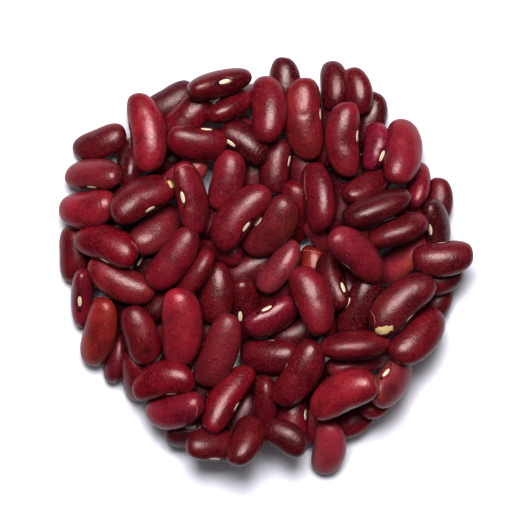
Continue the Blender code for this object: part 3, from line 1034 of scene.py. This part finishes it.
def mottled_tone(f, place, blotch, mottle):
    """A bean's own tone in darker, lighter and browner patches, finely speckled."""
    tone = f.attribute("tone", "Color")
    patches = blotch * (1 - MOTTLE_IN_PATCHES) + mottle * MOTTLE_IN_PATCHES
    dark = f.mix(1.0, tone, PATCH_DARK, "MULTIPLY")
    light = f.mix(1.0, tone, PATCH_LIGHT, "MULTIPLY")
    colour = f.mix(f.between(patches, *PATCH_EDGE), dark, light)
    brown = f.mix(1.0, colour, PATCH_BROWN, "MULTIPLY")
    colour = f.mix(f.between(f.noise(place, TAN), *TAN_EDGE) * BROWN_SHARE, colour, brown)
    shaded = f.mix(1.0, colour, SPECKLE_DARK, "MULTIPLY")
    lit = f.mix(1.0, colour, SPECKLE_LIGHT, "MULTIPLY")
    return f.mix(f.between(f.noise(place, SPECKLE), *SPECKLE_EDGE), shaded, lit)


def speck_masks(f, place):
    """Round pale and dark specks, each in a few of the cells of one pattern."""
    cells = {"Vector": place, "Scale": SPECK_CELLS}
    reach = f.node("ShaderNodeTexVoronoi", {"feature": "F1"}, cells)
    chance = f.node("ShaderNodeTexVoronoi", {"feature": "F1"}, cells, "Color")
    chance = f.node("ShaderNodeSeparateColor", None, {0: chance})
    pale = (1 - f.between(reach, *PALE_SPECK_EDGE)) * f.between(chance, *PALE_SPECK_CHANCE)
    dark = (1 - f.between(reach, *DARK_SPECK_EDGE)) * (1 - f.between(chance, *DARK_SPECK_CHANCE))
    return pale, dark


def scar_surround(f, colour):
    """A colour with the dark ring round the seed scar, and the pits at its two ends."""
    along, across, nearness = f.parts(f.attribute("scar"))
    facing = f.between(nearness, *RING_SIDE)
    ring = 1 - f.between(scar_oval(along, across), *RING_EDGE)
    colour = f.marked(colour, ring * facing, SCAR_RING)
    for pit_at, reach in PITS:
        apart = ((along - pit_at) / reach) ** 2 + (across / reach) ** 2
        pit = 1 - f.between(apart, *PIT_EDGE)
        colour = f.marked(colour, pit * facing, PIT)
    return colour


def crack_mask(f, mottle):
    """1 on a bean's hair crack, which wavers a little and fades at its ends."""
    share, apart, _ = f.parts(f.attribute("crack"))
    apart = apart + (mottle - 0.5) * CRACK_WAVER
    ends = f.between(share * share, *CRACK_ENDS)
    return (1 - f.between(apart * apart, *CRACK_EDGE)) * (1 - ends)


def bare_mask(f, mottle, swell):
    """1 where the skin is chipped off, with a ragged edge."""
    chip = f.attribute("chip", "Fac") + (mottle - 0.5) * CHIP_RAGS + (swell - 0.5) * CHIP_WAVES
    return 1 - f.between(chip, *CHIP_EDGE)


def skin_finish(name, sheen):
    """Satin seed coat: each bean's tone, blotched and finely speckled, pale where chipped."""
    f = Finish(name)
    luck = f.attribute("luck")
    place = f.node("ShaderNodeVectorMath", {"operation": "ADD"}, {0: f.attribute("own"), 1: luck})
    swell = f.noise(place, SWELL)
    blotch = f.noise(place, BLOTCH)
    mottle = f.noise(place, MOTTLE)
    grain = f.noise(place, GRAIN)
    dust = f.between(grain, *DUST_EDGE)
    pale_speck, dark_speck = speck_masks(f, place)
    crack = crack_mask(f, mottle)
    bare = bare_mask(f, mottle, swell)

    colour = mottled_tone(f, place, blotch, mottle)
    colour = f.marked(colour, dust, DUST)
    colour = f.marked(colour, pale_speck, PALE_SPECK)
    colour = f.marked(colour, dark_speck, DARK_SPECK)
    colour = f.marked(colour, f.attribute("stain", "Fac"), STAIN)
    colour = scar_surround(f, colour)
    colour = f.marked(colour, crack, PALE_CRACK)
    colour = f.mix(bare, colour, f.mix(mottle, SEED_DARK, SEED_LIGHT))

    rough = SKIN_ROUGHNESS + f.parts(luck)[0] * LUCK_ROUGHNESS
    rough = rough + (blotch - 0.5) * BLOTCH_ROUGHNESS + (mottle - 0.5) * MOTTLE_ROUGHNESS
    rough = rough + dust * DUST_ROUGHNESS + bare * SEED_ROUGHNESS
    height = swell * SWELL_HEIGHT + mottle * MOTTLE_HEIGHT + grain * GRAIN_HEIGHT
    height = height - dark_speck * DARK_SPECK_DEPTH + pale_speck * PALE_SPECK_HEIGHT
    height = height - bare * CHIP_DEPTH - crack * CRACK_DEPTH
    f.set(Base_Color=colour, Roughness=rough, Normal=f.bump(height, MM))
    f.shader.inputs["Specular IOR Level"].default_value = sheen
    f.shader.inputs["Specular Tint"].default_value = SKIN_GLINT
    return f.material


def scar_finish():
    """Matte cream seed scar, browner along its slit and rim."""
    f = Finish("seed_scar")
    own = f.attribute("own")
    along, _, across = [part / MM for part in f.parts(own)]
    fibre = f.noise(own, FIBRE)
    slit = (1 - f.between(across * across, *SLIT_EDGE)) * (1 - f.between(along, *SLIT_END))
    colour = f.marked(f.mix(fibre, SCAR_DARK, SCAR_LIGHT), slit, SLIT)
    colour = f.marked(colour, f.between(scar_oval(along, across), *RIM_EDGE), RIM)
    f.set(Base_Color=colour, Normal=f.bump(fibre, FIBRE_HEIGHT * MM, FIBRE_STRENGTH))
    f.shader.inputs["Roughness"].default_value = SCAR_ROUGHNESS
    return f.material


def table_top():
    """The pale floor, a little cool, as large as the view needs."""
    f = Finish("table_pale")
    f.set(Base_Color=TABLE_PALE)
    f.shader.inputs["Roughness"].default_value = TABLE_ROUGHNESS
    bpy.ops.mesh.primitive_plane_add(size=TABLE_SIZE, location=(0.0, 0.0, 0.0))
    floor = bpy.context.object
    floor.name = "table_top"
    floor.data.materials.append(f.material)


def softbox(lamp):
    """A rectangular studio lamp that looks at the heap."""
    light = bpy.data.lights.new(lamp.name, "AREA")
    light.shape = "RECTANGLE"
    light.size, light.size_y = lamp.size
    light.energy = lamp.power
    box = bpy.data.objects.new(lamp.name, light)
    box.location = lamp.place
    aim = Vector(LAMP_AIM) - Vector(lamp.place)
    box.rotation_euler = aim.to_track_quat("-Z", "Y").to_euler()
    box.visible_glossy = lamp.mirrored
    bpy.context.scene.collection.objects.link(box)


def studio():
    """A key towards the picture's top, and two wide boxes too even to show in the skins."""
    for lamp in LAMPS:
        softbox(lamp)
    world = bpy.data.worlds.new("studio_air")
    world.use_nodes = True
    air = world.node_tree.nodes["Background"]
    air.inputs["Color"].default_value = AIR_COLOUR
    air.inputs["Strength"].default_value = AIR_STRENGTH
    bpy.context.scene.world = world
    bpy.context.scene.view_settings.view_transform = "Standard"
    bpy.context.scene.view_settings.gamma = CONTRAST


def camera():
    """A long lens straight above, framed as the photograph: its picture is 130 mm wide."""
    lens = bpy.data.cameras.new("camera")
    view = bpy.data.objects.new("camera", lens)
    lens.sensor_width = SENSOR_WIDTH
    lens.lens = SENSOR_WIDTH * (CAMERA_HEIGHT - FOCUS_HEIGHT) / (PHOTO_SIZE * PIXEL)
    lens.clip_start = NEAREST
    view.location = (*to_table(PHOTO_SIZE / 2, PHOTO_SIZE / 2), CAMERA_HEIGHT)
    bpy.context.scene.collection.objects.link(view)
    bpy.context.scene.camera = view


def is_deep(bean):
    """True for a bean of the darkest tones well inside the heap, within DEEP_REACH of its middle."""
    return bean.tone in DEEP_TONES and math.hypot(*to_table(bean.px, bean.py)) < DEEP_REACH


def build():
    """The camera, the studio, the table, the beans of three kinds and all their seed scars."""
    camera()
    studio()
    table_top()
    lower, upper = all_beans(np.random.default_rng(SEED))
    deep = [one for one in lower if is_deep(one[1])]
    lower = [one for one in lower if not is_deep(one[1])]
    skin = skin_finish("bean_skin", SHEEN)
    deep_skin = skin_finish("deep_bean_skin", DEEP_SHEEN)
    kinds = (("upper_beans", upper, UPPER_GRID, skin), ("lower_beans", lower, LOWER_GRID, skin),
             ("deep_beans", deep, LOWER_GRID, deep_skin))
    for name, beans, grid, finish in kinds:
        piece = bean_piece(name, beans, grid)
        piece.data.materials.append(finish)
        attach(piece, "root")
        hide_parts("beans")
    scars = scar_piece(upper + lower + deep)
    scars.data.materials.append(scar_finish())
    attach(scars, "root")


build()
